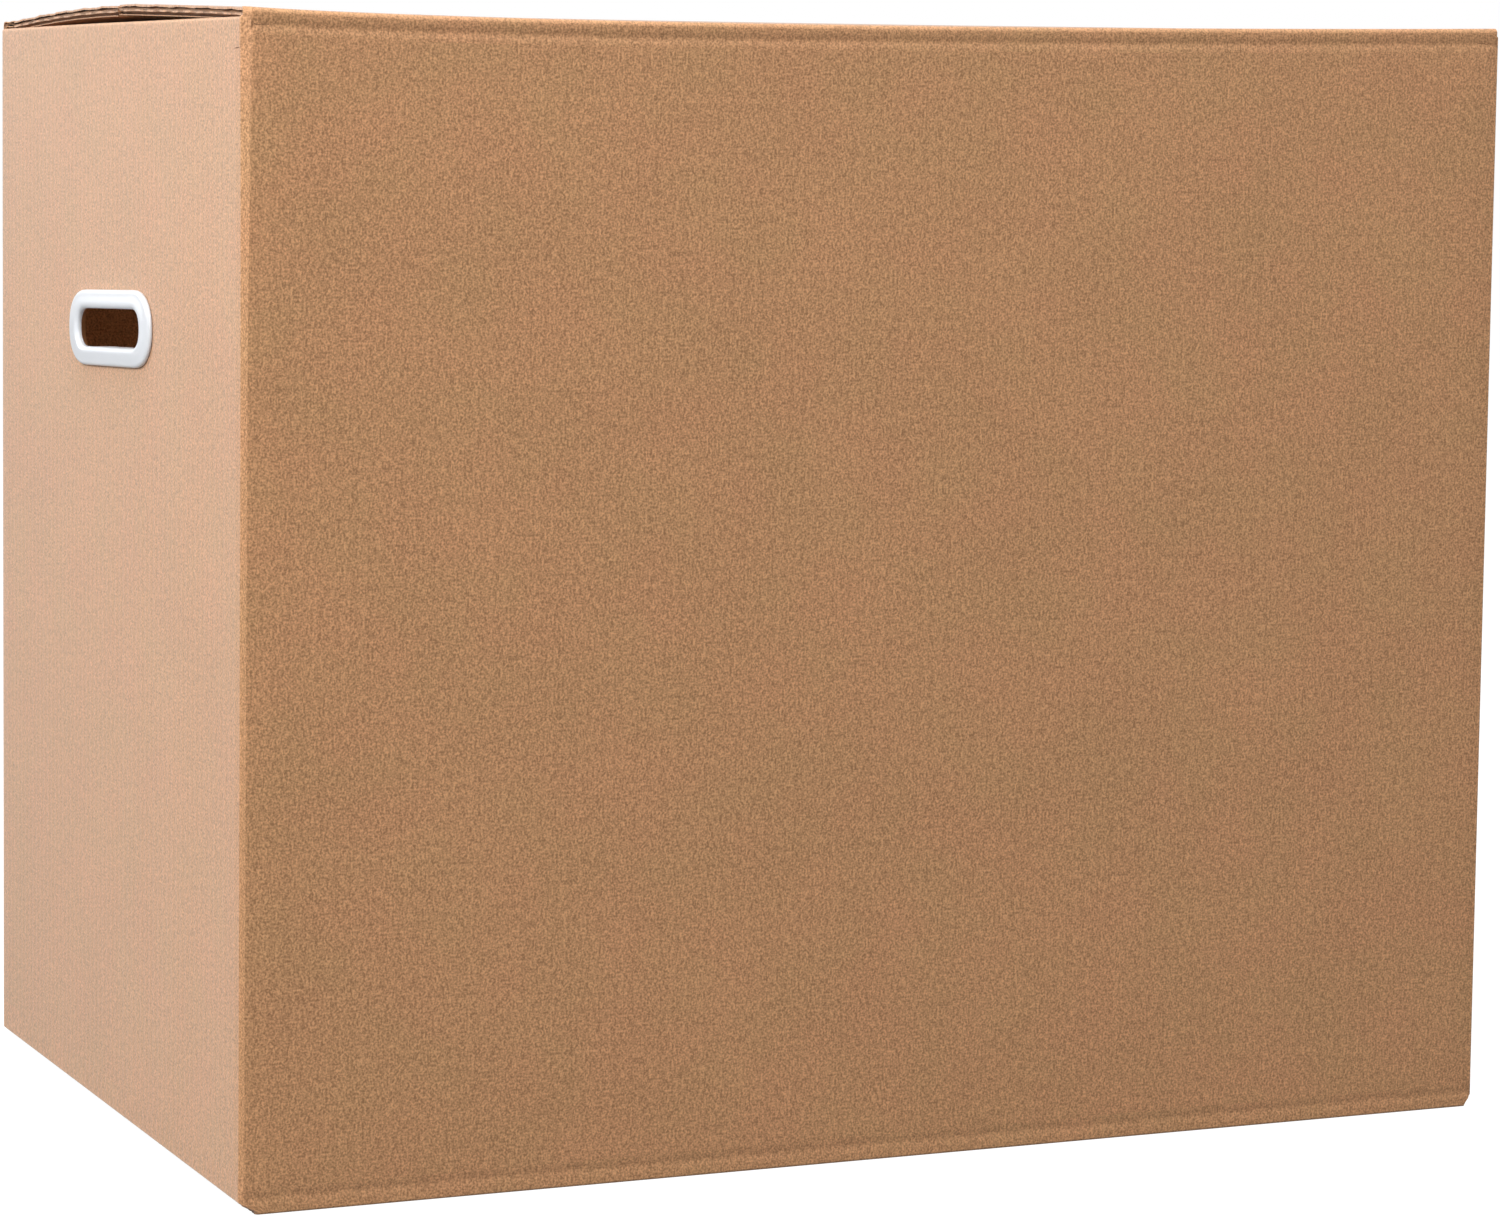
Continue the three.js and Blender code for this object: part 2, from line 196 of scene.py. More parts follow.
def paper_mottle():
    """How light or dark the kraft paper is at a place on the sheet, and its fine roughness."""
    tree, given, result = group(
        "Kraft paper",
        [("Place", "NodeSocketVector")],
        [("Tone", "NodeSocketFloat"), ("Grain", "NodeSocketFloat"), ("Tint", "NodeSocketColor")],
    )
    place = given.outputs["Place"]
    grain = add_node(tree, "ShaderNodeTexNoise", {"Vector": place, "Scale": 1050.0, "Detail": 1.0})
    stretched = add_node(tree, "ShaderNodeMapping", {"Vector": place, "Scale": (1.0, 0.35, 1.0)})
    fibre = add_node(tree, "ShaderNodeTexNoise", {"Vector": stretched.outputs[0], "Scale": 1000.0,
                                                  "Detail": 1.0, "Distortion": 0.8})
    fleck = add_node(tree, "ShaderNodeTexNoise", {"Vector": place, "Scale": 230.0, "Detail": 2.0})
    cloud = add_node(tree, "ShaderNodeTexNoise", {"Vector": place, "Scale": 16.0, "Detail": 5.0,
                                                  "Roughness": 0.6})
    fine = math_node(tree, "MULTIPLY_ADD", grain.outputs[0], 0.6,
                     math_node(tree, "MULTIPLY", fibre.outputs[0], 0.4))
    coarse = math_node(tree, "MULTIPLY_ADD", fleck.outputs[0], 0.35,
                       math_node(tree, "MULTIPLY", cloud.outputs[0], 0.65))
    tone = math_node(tree, "MULTIPLY_ADD", fine, 0.92,
                     math_node(tree, "MULTIPLY", coarse, 0.08))
    tree.links.new(tone, result.inputs["Tone"])
    tree.links.new(fine, result.inputs["Grain"])
    drift = add_node(tree, "ShaderNodeTexNoise", {"Vector": place, "Scale": 26.0, "Detail": 3.0})
    share = add_node(tree, "ShaderNodeMapRange",
                     {"Value": drift.outputs[0], "From Min": 0.36, "From Max": 0.64})
    tint = add_node(tree, "ShaderNodeMix", {"Factor": share.outputs[0]}, data_type="RGBA")
    tint.inputs[6].default_value = (1.02, 0.985, 0.985, 1)
    tint.inputs[7].default_value = (0.985, 1.0, 0.97, 1)
    tree.links.new(tint.outputs[2], result.inputs["Tint"])
    return tree


def flute_stripes():
    """The flutes under the liner, as soft stripes that run along the sheet's second axis."""
    tree, given, result = group(
        "Flutes through the liner",
        [("Place", "NodeSocketVector")],
        [("Stripe", "NodeSocketFloat")],
    )
    place = given.outputs["Place"]
    wobble = add_node(tree, "ShaderNodeTexNoise", {"Vector": place, "Scale": 60.0, "Detail": 1.0})
    split = add_node(tree, "ShaderNodeSeparateXYZ", {"Vector": place})
    turned = math_node(tree, "MULTIPLY_ADD", split.outputs["X"],
                       2 * math.pi / (FLUTE_PITCH * MM),
                       math_node(tree, "MULTIPLY", wobble.outputs[0], 1.6))
    wave = math_node(tree, "MULTIPLY_ADD", math_node(tree, "SINE", turned), 0.5, 0.5)
    tree.links.new(wave, result.inputs["Stripe"])
    return tree


def stretched_fold_and_highlight():
    """Paper lighter along a crease: partly stretched by the fold, partly a painted highlight where the
    rounded fold catches the light. 1 on the crease's line, and 0 a little way from it. The sheet's
    second axis is 0 on every crease's line."""
    tree, given, result = group(
        "Stretched fold and painted highlight",
        [("Place", "NodeSocketVector")],
        [("Share", "NodeSocketFloat")],
    )
    place = given.outputs["Place"]
    wobble = add_node(tree, "ShaderNodeTexNoise", {"Vector": place, "Scale": 160.0, "Detail": 2.0})
    split = add_node(tree, "ShaderNodeSeparateXYZ", {"Vector": place})
    away = math_node(tree, "ABSOLUTE", split.outputs["Y"])
    near = add_node(tree, "ShaderNodeMapRange", {"Value": away, "From Min": 0.0006,
                                                 "From Max": 0.0022, "To Min": 1.0, "To Max": 0.0})
    share = math_node(tree, "MULTIPLY", near.outputs[0],
                      math_node(tree, "MULTIPLY", wobble.outputs[0], 1.6))
    tree.links.new(share, result.inputs["Share"])
    return tree


MOTTLE = paper_mottle()
STRIPES = flute_stripes()
STRETCH_AND_HIGHLIGHT = stretched_fold_and_highlight()


def use_group(tree, shared, place):
    """A shared group in a material's tree, given a place on the sheet."""
    made = tree.nodes.new("ShaderNodeGroup")
    made.node_tree = shared
    tree.links.new(place, made.inputs["Place"])
    return made


def kraft_material(name, dark, light, sheen):
    """A paper that mottles between two colours, with the flutes showing in it and the creases lighter:
    partly stretched paper, partly painted highlight.
    """
    material = bpy.data.materials.new(name)
    material.use_nodes = True
    tree = material.node_tree
    surface = tree.nodes["Principled BSDF"]
    place = add_node(tree, "ShaderNodeUVMap", uv_map="sheet").outputs[0]
    paper = use_group(tree, MOTTLE, place)
    stripes = use_group(tree, STRIPES, place)
    stretched = use_group(tree, STRETCH_AND_HIGHLIGHT, place)
    tone = math_node(tree, "MULTIPLY_ADD", stripes.outputs[0], 0.012, paper.outputs["Tone"])
    # The creases are lighter: partly stretched paper, partly painted highlight.
    tone = math_node(tree, "MULTIPLY_ADD", stretched.outputs[0], 0.07, tone)
    shade = add_node(tree, "ShaderNodeMapRange", {"Value": tone, "From Min": 0.38, "From Max": 0.64})
    colour = add_node(tree, "ShaderNodeMix", {"Factor": shade.outputs[0]}, data_type="RGBA")
    colour.inputs[6].default_value = (*dark, 1)
    colour.inputs[7].default_value = (*light, 1)
    tinted = add_node(tree, "ShaderNodeMix", data_type="RGBA", blend_type="MULTIPLY")
    tinted.inputs[0].default_value = 1
    tree.links.new(colour.outputs[2], tinted.inputs[6])
    tree.links.new(paper.outputs["Tint"], tinted.inputs[7])
    tree.links.new(tinted.outputs[2], surface.inputs["Base Color"])
    surface.inputs["Roughness"].default_value = 0.62
    surface.inputs["Specular IOR Level"].default_value = 0.35
    surface.inputs["Sheen Weight"].default_value = sheen
    surface.inputs["Sheen Roughness"].default_value = 0.4
    height = math_node(tree, "MULTIPLY_ADD", stripes.outputs[0], 0.2, paper.outputs["Grain"])
    bump = add_node(tree, "ShaderNodeBump", {"Height": height, "Strength": 0.7, "Distance": 0.0003})
    tree.links.new(bump.outputs[0], surface.inputs["Normal"])
    return material


KRAFT = kraft_material("kraft board", (0.35, 0.178, 0.080), (0.78, 0.418, 0.206), sheen=0.6)

# How wide each upright fold is at the bottom, half way up and at the top, by its corner in plan
FOLDS = {(1, 1): (1.0, 1.0, 1.0), (1, -1): (0.5, 0.5, 0.5), (-1, -1): (1.9, 2.2, 4.0),
         (-1, 1): (0.9, 0.9, 1.0)}
INSIDE_FOLD = 0.6


def fold_width(corner, share):
    """A fold's width at a share of the height: it opens out quickly near the top."""
    bottom, middle, top = FOLDS[corner]
    return bottom + (middle - bottom) * share + (top - middle) * share**6


def fold_curve():
    """A fold of width 1 in plan, from (0, 1) to (1, 0): a slanted face, rounded at either side."""
    start, bend, end = np.array([-0.12, 1.0]), np.array([0.0, 1.0]), np.array([0.085, 0.915])
    curve = [(1 - t) ** 2 * start + 2 * t * (1 - t) * bend + t * t * end
             for t in np.linspace(0, 1, 4)]
    return np.array(curve + [point[::-1] for point in reversed(curve)])


def between(leave, arrive):
    """Points spread evenly between two others."""
    return [leave + (arrive - leave) * part for part in np.linspace(0, 1, 42)[1:-1]]


def ring_outline(inset, share):
    """Points round the ring in plan, from the back right corner."""
    half_x, half_y = HALF_LENGTH - inset, HALF_WIDTH - inset
    outline = []
    for n, (side_x, side_y) in enumerate(FOLDS):
        width = fold_width((side_x, side_y), share) if inset == 0 else INSIDE_FOLD
        curve = fold_curve()[::-1] if n % 2 else fold_curve()
        bend = np.array([side_x * (half_x - width), side_y * (half_y - width)])
        corner = bend + width * curve * np.array([side_x, side_y])
        if outline:
            outline += between(outline[-1], corner[0])
        outline += list(corner)
    outline += between(outline[-1], outline[0])
    return np.array(outline)


def panel_ring():
    """The four panels, as one slab bent round the ring."""
    plan = ring_outline(0, 1)
    steps = np.linalg.norm(np.diff(np.vstack([plan, plan[:1]]), axis=0), axis=1)
    distance = np.concatenate([[0], np.cumsum(steps)])
    beside_end = HALF_WIDTH - np.abs(plan[:, 1]) > HALF_LENGTH - np.abs(plan[:, 0])
    top = np.where(beside_end, INNER_FLAP_TOP - CREASE_ZONE, HEIGHT - CREASE_ZONE)
    bottom = np.where(beside_end, INNER_FLAP_BOTTOM + CREASE_ZONE, CREASE_ZONE)
    outside, inside = [], []
    for share in np.linspace(0, 1, 50):
        height = bottom + (top - bottom) * share
        outside.append(np.column_stack([ring_outline(0, share), height]))
        inside.append(np.column_stack([ring_outline(BOARD, share), height]))
    outside = np.stack([np.vstack([row, row[:1]]) for row in outside])
    inside = np.stack([np.vstack([row, row[:1]]) for row in inside])
    uv = np.stack([np.repeat(distance[None], len(outside), 0), outside[..., 2]], axis=-1)
    return slab(settled(outside), settled(inside), uv)


# The holes in the end panels are a little larger than the hand-holds' openings, which leaves room
# for the tongues that pass through them.

HOLE_HEIGHT = 17.4
HOLE_END_CURVE = 13
END_FULLNESS = 2.3
BOARD_HOLE_LENGTH = 126
LIP_WALL = 1.8
HANDLE_BELOW_TOP = 140
HANDLE_CENTRE = HEIGHT - HANDLE_BELOW_TOP
TILT = math.radians(2.2)
CUTTER_OVERRUN = 20


def tilted(y, z):
    """A place on the end panel from the hand-hold's middle, turned as the hand-hold is."""
    return y * math.cos(TILT) + z * math.sin(TILT), z * math.cos(TILT) - y * math.sin(TILT)


def long_outline(length, height, end_curve, steps=20):
    """Points round a long hole with full elliptical ends, tilted as the real one is."""
    straight = length / 2 - end_curve
    points = []
    for side in (1, -1):
        for step in range(steps + 1):
            angle = (step / steps - 0.5) * math.pi
            fuller = [math.copysign(abs(v) ** (2 / END_FULLNESS), v)
                      for v in (max(math.cos(angle), 0), math.sin(angle))]
            y = side * (straight + end_curve * fuller[0])
            z = side * height / 2 * fuller[1]
            points.append(tilted(y, z))
    return np.array(points)


def cut_hand_holes(target):
    """Cut one long hole straight through both end panels."""
    height = HOLE_HEIGHT + 2 * (LIP_WALL + CLEARANCE)
    outline = long_outline(BOARD_HOLE_LENGTH, height, HOLE_END_CURVE)
    outline = np.vstack([outline, outline[:1]])
    side_faces = []
    for x in (-HALF_LENGTH - CUTTER_OVERRUN, HALF_LENGTH + CUTTER_OVERRUN):
        side_faces.append(np.column_stack([np.full(len(outline), x), outline]))
    cutter_mesh = bpy.data.meshes.new("hand hole cutter")
    count = len(outline) - 1
    points = [(x, y, z + HANDLE_CENTRE) for loop in side_faces for x, y, z in loop[:-1]]
    faces = [tuple(range(count)), tuple(range(2 * count - 1, count - 1, -1))]
    faces += [(i, i + count, (i + 1) % count + count, (i + 1) % count) for i in range(count)]
    cutter_mesh.from_pydata((np.array(points) * MM).tolist(), [], faces)
    face_outwards(cutter_mesh)
    cutter = bpy.data.objects.new("hand hole cutter", cutter_mesh)
    bpy.context.scene.collection.objects.link(cutter)
    cut = target.modifiers.new("hand holes", "BOOLEAN")
    cut.operation = "DIFFERENCE"
    cut.solver = "EXACT"
    cut.object = cutter
    bpy.context.view_layer.objects.active = target
    bpy.ops.object.modifier_apply(modifier=cut.name)
    bpy.data.objects.remove(cutter)


panels = piece("carton_panels", [panel_ring()], [KRAFT])
cut_hand_holes(panels)
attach(panels, "carton")
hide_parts("carton_body")


# The folds and flaps that stay shut
# The inner top flaps, the bottom flaps and the glue tab belong to the same sheet as the panels. A
# blunt rule has crushed the board along each fold, so it bends to a small outside radius. The cut
# ends show three liners with two waved mediums glued between them.

LINER = 0.45
MEDIUM = 0.3
FLUTE_HEIGHT = (BOARD - 3 * LINER) / 2
SLOT_INSET = 3
CREASE_INSET = 0.8
RAW_EDGE_SETBACK = 0.5
SEAM = 2
INNER_FLAP_DEPTH = 200
INNER_FLAP_GAP = 1
OUTER_FLAP_HALF = HALF_LENGTH - SLOT_INSET
CREASE_HALF = HALF_LENGTH - CREASE_INSET
END_FOLD_HALF = HALF_WIDTH - RAW_EDGE_SETBACK
INNER_FLAP_HALF = HALF_WIDTH - BOARD - INNER_FLAP_GAP

FLUTING = kraft_material("fluting paper", (0.15, 0.078, 0.036), (0.40, 0.215, 0.108), sheen=0.1)
# A darker kraft with little sheen, as painted shade: it goes on both faces of the inner flaps and
# under the top flaps, so the gap under the top flaps and the box's inside show dark.
PAINTED_SHADE_KRAFT = kraft_material("kraft board with painted shade", (0.26, 0.130, 0.058), (0.62, 0.330, 0.160), sheen=0.1)
BOARD_MATERIALS = [KRAFT, FLUTING, PAINTED_SHADE_KRAFT]
KRAFT_SLOT, FLUTING_SLOT, PAINTED_SHADE_SLOT = range(3)


def grid(first, second):
    """Two rows of numbers as a grid, the first down the rows and the second across."""
    return np.meshgrid(np.asarray(first, float), np.asarray(second, float), indexing="ij")


def wander(distance, seed, wavelength):
    """A smooth line of ups and downs between about -1 and 1."""
    turn = 2 * math.pi * distance / wavelength
    return (np.sin(turn + seed) + 0.6 * np.sin(2.3 * turn + 2.1 * seed)
            + 0.4 * np.sin(4.7 * turn + 3.7 * seed)) / 1.6


END_STRIP = 14
CRUSH_REACH = 3.5
LINER_SPREAD = 0.35
LINER_SPREAD_REACH = 1.5
CRUSH_WAVE = 37
CUT_WAVE = 19
LINER_STEPS_PER_MM = 0.1
STEPS_PER_FLUTE = 8


def fluted_board(half, along, place, ragged=0.0, faces=(KRAFT_SLOT,) * 3, end_step=9):
    """Double-wall board: three liners with two waved mediums between them.
    It reaches half each way across the flutes, and along is stations along them. place(u, v, depth)
    says where a point of the flat board goes, with depth counted down from its outside face. The two
    cut ends are ragged by that many millimetres, with a station every end_step along them. faces
    says which material each liner has, and the knife has spread the ends of the plain kraft ones."""
    inner_half = half - END_STRIP
    fine_along = np.unique(np.concatenate([along, np.arange(along[0], along[-1], end_step)]))
    solids = []

    def sheet(u_stations, v_stations, depth_of, thickness, seed, slot):
        u, v = grid(u_stations, v_stations)
        from_end = np.maximum(half - np.abs(u), 0)
        end_share = ragged * np.exp(-from_end / CRUSH_REACH)
        crushed = end_share * (0.5 + 0.5 * wander(v, seed, CRUSH_WAVE))
        depth = depth_of(u) * (1 - crushed / BOARD) + crushed
        moved_u = u - np.sign(u) * end_share * (0.5 + 0.5 * wander(v, seed + 5, CUT_WAVE))
        flat = np.stack([u, v], axis=-1)
        spread = LINER_SPREAD * (slot == KRAFT_SLOT) * np.exp(-from_end / LINER_SPREAD_REACH)
        under = place(moved_u, v, depth + thickness + spread)
        solids.append((*slab(place(moved_u, v, depth), under, flat), slot))

    def sheet_in_three(steps_per_mm, depth_of, thickness, seed, slot):
        end_steps = max(round(END_STRIP * steps_per_mm), 5)
        middle_steps = round(2 * inner_half * steps_per_mm)
        sheet(np.linspace(-inner_half, inner_half, middle_steps + 1), along, depth_of, thickness,
              seed, slot)
        for side in (-1, 1):
            ends = np.linspace(side * inner_half, side * half, end_steps + 1)
            sheet(np.sort(ends), fine_along, depth_of, thickness, seed, slot)

    for ply in range(3):
        top = ply * (LINER + FLUTE_HEIGHT)
        sheet_in_three(LINER_STEPS_PER_MM, lambda u, top=top: np.full_like(u, top), LINER, ply,
                       faces[ply])
    waves = round(2 * half / FLUTE_PITCH)
    for ply in range(2):
        swing = (FLUTE_HEIGHT - MEDIUM) / 2
        middle = LINER + ply * (LINER + FLUTE_HEIGHT) + swing
        phase = ply * math.pi
        sheet_in_three(
            STEPS_PER_FLUTE / FLUTE_PITCH,
            lambda u, middle=middle, phase=phase: middle
            + swing * np.cos(math.pi * waves * (u / half + 1) + phase),
            MEDIUM,
            ply + 3,
            FLUTING_SLOT,
        )
    return solids


GROOVE_DROP = 7.0
GROOVE_WIDTH = 1.9
FLAP_GROOVE_DEPTH = 0.5
FLAP_GROOVE_REACH = 6.2
FLAP_GROOVE_WIDTH = 1.3
CROWN_REACH = 0.75
FOLD_LINE_ANGLE = 0.8
INNER_CRUSH = 0.4
INNER_SLOPE = 0.02


def crease_section(depth, crown=0.0, radius=2.2):
    """A fold at (0, 0) that turns from pointing down to pointing in, as rows of
    (outside in, outside up, inside in, inside up, distance along the sheet from the fold's line).
    The rule's groove is that deep, and the fold's top stands up by the crown."""
    rows = []
    for drop in np.linspace(CREASE_ZONE, radius, 11):
        groove = depth * math.exp(-(((drop - GROOVE_DROP) / GROOVE_WIDTH) ** 2))
        raised = crown * (CREASE_ZONE - drop) / (CREASE_ZONE - radius)
        low = min(-drop, -BOARD - INNER_SLOPE * (CREASE_ZONE - drop))
        rows.append((groove, raised - drop, BOARD, low, -drop))
    for step in range(1, 9):
        share = step / 8
        angle = share * math.pi / 2
        across, up = radius - radius * math.cos(angle), -radius + radius * math.sin(angle)
        inner = (BOARD + INNER_CRUSH * share, -BOARD - INNER_CRUSH * (1 - share))
        rows.append((across, up + crown, *inner, radius * (angle - FOLD_LINE_ANGLE)))
    for reach in radius + (CREASE_ZONE - radius) * np.linspace(0, 1, 10)[1:] ** 1.6:
        from_groove = (reach - FLAP_GROOVE_REACH) / FLAP_GROOVE_WIDTH
        groove = FLAP_GROOVE_DEPTH * math.exp(-(from_groove**2))
        fall = crown * math.exp(-(((reach - radius) / CROWN_REACH) ** 2))
        rows.append((reach, -groove + fall, max(reach, BOARD + INNER_CRUSH), -BOARD, reach))
    return np.array(rows)


def bevelled(across, end_gap, fold):
    """How far in a crease's outside face is, near an end where a panel's fold slants away."""
    slant = np.maximum(fold - end_gap, 0)
    return across + slant * np.clip(1 - across / BOARD, 0, 1)


FIRST_MEDIUM_SHARE = 0.45
SECOND_MEDIUM_SHARE = 0.5
LAYER_DRIFT_REACH = 3.0
LAYER_WAVE = 11


def crushed_board(stations, section, place, spread=0.0):
    """The board through a crease: its liners and flattened mediums, as thin sheets that follow the
    fold. place(u, point) gives where a point of the crease's section is, at u along the fold, and
    spread is how far the inner layers stray up and down at the two cut ends."""
    starts = [0, LINER + FLUTE_HEIGHT * FIRST_MEDIUM_SHARE, LINER + FLUTE_HEIGHT,
              2 * LINER + FLUTE_HEIGHT * (1 + SECOND_MEDIUM_SHARE), 2 * (LINER + FLUTE_HEIGHT)]
    solids = []
    u, row = grid(stations, np.arange(len(section)))
    picked = section[row.astype(int)]
    outer, inner = place(u, picked[..., 0:2]), place(u, picked[..., 2:4])
    flat = np.stack([u, picked[..., 4]], axis=-1)
    for layer, start in enumerate(starts):
        thick = MEDIUM if layer % 2 else LINER
        near_end = np.exp(-(np.abs(stations).max() - np.abs(u)) / LAYER_DRIFT_REACH)
        stray = spread if 0 < layer < 4 else 0
        drift = stray * near_end * wander(picked[..., 4], layer, LAYER_WAVE)
        low, high = (start + drift) / BOARD, (start + drift + thick) / BOARD
        shape = slab(outer + (inner - outer) * low[..., None],
                     outer + (inner - outer) * high[..., None], flat)
        solids.append((*shape, FLUTING_SLOT if layer % 2 else KRAFT_SLOT))
    return solids


def long_stations(half, middle=15):
    """Stations along a crease, close together near its two cut ends."""
    ends = half - np.array([0, 0.6, 1.2, 2, 3, 4, 6, 8, 12])
    inner = half - 20
    return np.unique(np.concatenate([-ends, np.linspace(-inner, inner, middle), ends]))


def long_panel_inward(x, across, side, share):
    """How far in a long panel's crease is, with share 0 at the bottom and 1 at the top."""
    fold = np.where(x < 0, fold_width((-1, side), share), fold_width((1, side), share))
    return bevelled(across, HALF_LENGTH - np.abs(x), fold)


END_CROWN = 2.0
END_FOLD_RADIUS = 1.3
LOWER_FOLD_SLOPE = 0.007


def end_fold(side, foot, upward):
    """The fold between an end panel and an inner flap. side is -1 or 1 along X, foot the fold's
    outside height, and upward is 1 where the panel stands below the fold."""
    section = crease_section(0.0, END_CROWN, END_FOLD_RADIUS)
    slope = 0 if upward > 0 else LOWER_FOLD_SLOPE

    def place(y, point):
        across, up = point[..., 0], point[..., 1]
        up = up + slope * y * smoothstep(-CREASE_ZONE, 0, up) * smoothstep(4, 1, across)
        at_end = 1 if upward > 0 else 0
        fold = np.where(y < 0, fold_width((side, -1), at_end), fold_width((side, 1), at_end))
        inward = bevelled(across, HALF_WIDTH - np.abs(y), fold)
        return settled(np.stack([side * (HALF_LENGTH - inward), y, foot + upward * up], axis=-1))

    return crushed_board(long_stations(END_FOLD_HALF), section, place)


def inner_flap(side, foot, upward):
    """The flap beyond an end panel's fold, which reaches a third of the way along the box."""

    def place(u, v, depth):
        x = side * (HALF_LENGTH - v)
        return settled(np.stack([x, u, np.full_like(u, foot) - upward * depth], axis=-1))

    along = np.linspace(CREASE_ZONE, INNER_FLAP_DEPTH, 4)
    # Both outer liners take the darker kraft of painted shade.
    return fluted_board(INNER_FLAP_HALF, along, place, ragged=0.3,
                        faces=(PAINTED_SHADE_SLOT, KRAFT_SLOT, PAINTED_SHADE_SLOT))


BOTTOM_GROOVE_DEPTH = 0.35
BOTTOM_FOLD_RADIUS = 1.2
LEFT_WEAR = 6.5
RIGHT_WEAR = 2.5
WEAR_LENGTH = 14


def bottom_crease(side):
    """The fold between a long panel and its bottom flap, with the corners worn away a little."""

    def place(x, point):
        across, up = point[..., 0], point[..., 1]
        wear = np.where(x < 0, LEFT_WEAR, RIGHT_WEAR)
        end_share = smoothstep(CREASE_HALF - WEAR_LENGTH, CREASE_HALF, np.abs(x))
        moved = x - np.sign(x) * wear * end_share * smoothstep(5, 0.5, -up)
        inward = long_panel_inward(x, across, side, share=0)
        return np.stack([moved, side * (HALF_WIDTH - inward), -up], axis=-1)

    section = crease_section(BOTTOM_GROOVE_DEPTH, radius=BOTTOM_FOLD_RADIUS)
    return crushed_board(long_stations(CREASE_HALF), section, place, 0.3)


BOTTOM_FLAP_NARROWING = 4


def bottom_outer_flap(side):
    """A long panel's flap under the box. The two leave a narrow seam along the middle."""

    def place(u, v, depth):
        return np.stack([u, side * (HALF_WIDTH - v), depth], axis=-1)

    along = np.linspace(CREASE_ZONE, HALF_WIDTH - SEAM / 2, 4)
    return fluted_board(OUTER_FLAP_HALF - BOTTOM_FLAP_NARROWING, along, place, ragged=0.3)


GLUE_TAB_WIDTH = 38
GLUE_TAB_BEVEL = 12
GLUE_TAB_INSET = 15
GLUE_TAB_THICKNESS = 3.5
GLUE_TAB_SINK = 0.2
GLUE_TAB_ON_SHEET = 8000


def glue_tab():
    """The sheet's last strip, glued to the inside of the end panel at the back right corner. Its
    place on the sheet is far from the panel's, so its mottle differs."""
    inner_y = HALF_WIDTH - BOARD
    free_y = inner_y - GLUE_TAB_WIDTH
    y, share = grid(np.linspace(free_y, inner_y, 8), np.linspace(0, 1, 20))
    bevel = np.interp(y, [free_y, inner_y], [GLUE_TAB_BEVEL, 0])
    z = (GLUE_TAB_INSET + bevel) + (HEIGHT - 2 * GLUE_TAB_INSET - 2 * bevel) * share
    face = HALF_LENGTH - BOARD
    near = np.stack([np.full_like(y, face - GLUE_TAB_THICKNESS), y, z], axis=-1)
    far = np.stack([np.full_like(y, face + GLUE_TAB_SINK), y, z], axis=-1)
    return slab(near, far, np.stack([y + GLUE_TAB_ON_SHEET, z], axis=-1))


upper_folds = [glue_tab()]
lower_folds = []
for end in (-1, 1):
    upper_folds += end_fold(end, INNER_FLAP_TOP, 1) + inner_flap(end, INNER_FLAP_TOP, 1)
    lower_folds += end_fold(end, INNER_FLAP_BOTTOM, -1) + inner_flap(end, INNER_FLAP_BOTTOM, -1)
    lower_folds += bottom_crease(end) + bottom_outer_flap(end)
for name, folded in (("carton_inner_flaps", upper_folds), ("carton_bottom_flaps", lower_folds)):
    fixed_flaps = piece(name, folded, BOARD_MATERIALS)
    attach(fixed_flaps, "carton")


# The two outer flaps on top
# They are the long panels' own board, folded over and sprung up a little. Each swings on its crease,
# which the rule has marked with a shallow groove under the panel's top edge.

TOP_GROOVE_DEPTH = 0.6
FLAP_REST_DEGREES = 1.1
FRONT_BEND_RISE = 1.35
FRONT_BEND_REACH = 70
BACK_BOW_RISE = 1.7
BACK_BOW_SPAN = 230
LEFT_END_LENGTH = 200


def flap_rise(x, reach, side):
    """How far a top outer flap has sprung up: a straight slope, and more than that at the left end,
    where the front flap has bent up near its crease and the back one is bowed."""
    slope = math.tan(math.radians(FLAP_REST_DEGREES)) * reach
    if side < 0:
        extra = FRONT_BEND_RISE * (1 - np.exp(-reach / FRONT_BEND_REACH))
    else:
        extra = BACK_BOW_RISE * np.sin(math.pi * reach / BACK_BOW_SPAN)
    return slope + extra * smoothstep(LEFT_END_LENGTH - HALF_LENGTH, -HALF_LENGTH, x)


def outer_crease(side):
    """A top crease of a long panel: side is -1 for the front and 1 for the back."""

    def place(x, point):
        across, up = point[..., 0], point[..., 1]
        z = HEIGHT + up + flap_rise(x, across, side)
        inward = long_panel_inward(x, across, side, share=1)
        narrowing = 1 - OUTER_FLAP_HALF / CREASE_HALF
        moved = x * (1 - narrowing * smoothstep(2, CREASE_ZONE, across))
        return settled(np.stack([moved, side * (HALF_WIDTH - inward), z], axis=-1))

    return crushed_board(long_stations(CREASE_HALF, 70), crease_section(TOP_GROOVE_DEPTH), place, 0.5)


def top_outer_flap(side):
    """A long panel's flap on top. The two leave a narrow seam along the middle."""
    reach = HALF_WIDTH - SEAM / 2

    def place(u, v, depth):
        z = HEIGHT - depth + flap_rise(u, v, side)
        return settled(np.stack([u, side * (HALF_WIDTH - v), z], axis=-1))

    along = np.linspace(CREASE_ZONE, reach, 16)
    # The liner underneath takes the darker kraft of painted shade, for the gap under the flap.
    return fluted_board(OUTER_FLAP_HALF, along, place, ragged=0.55,
                        faces=(KRAFT_SLOT, KRAFT_SLOT, PAINTED_SHADE_SLOT), end_step=3.5)


for side, label in ((-1, "front"), (1, "back")):
    flap = piece(f"outer_flap_{label}", top_outer_flap(side), BOARD_MATERIALS)
    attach(flap, f"{label}_flap")
    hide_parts(f"top_flap_{label}")
    crease = piece(f"crease_{label}", outer_crease(side), BOARD_MATERIALS)
    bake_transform(crease)


# The hand-holds
# Each is one moulding of white plastic, pushed into the hole in the end panel from outside: a domed
# flange with a soft lip round the hole, and tongues that hook behind the board.

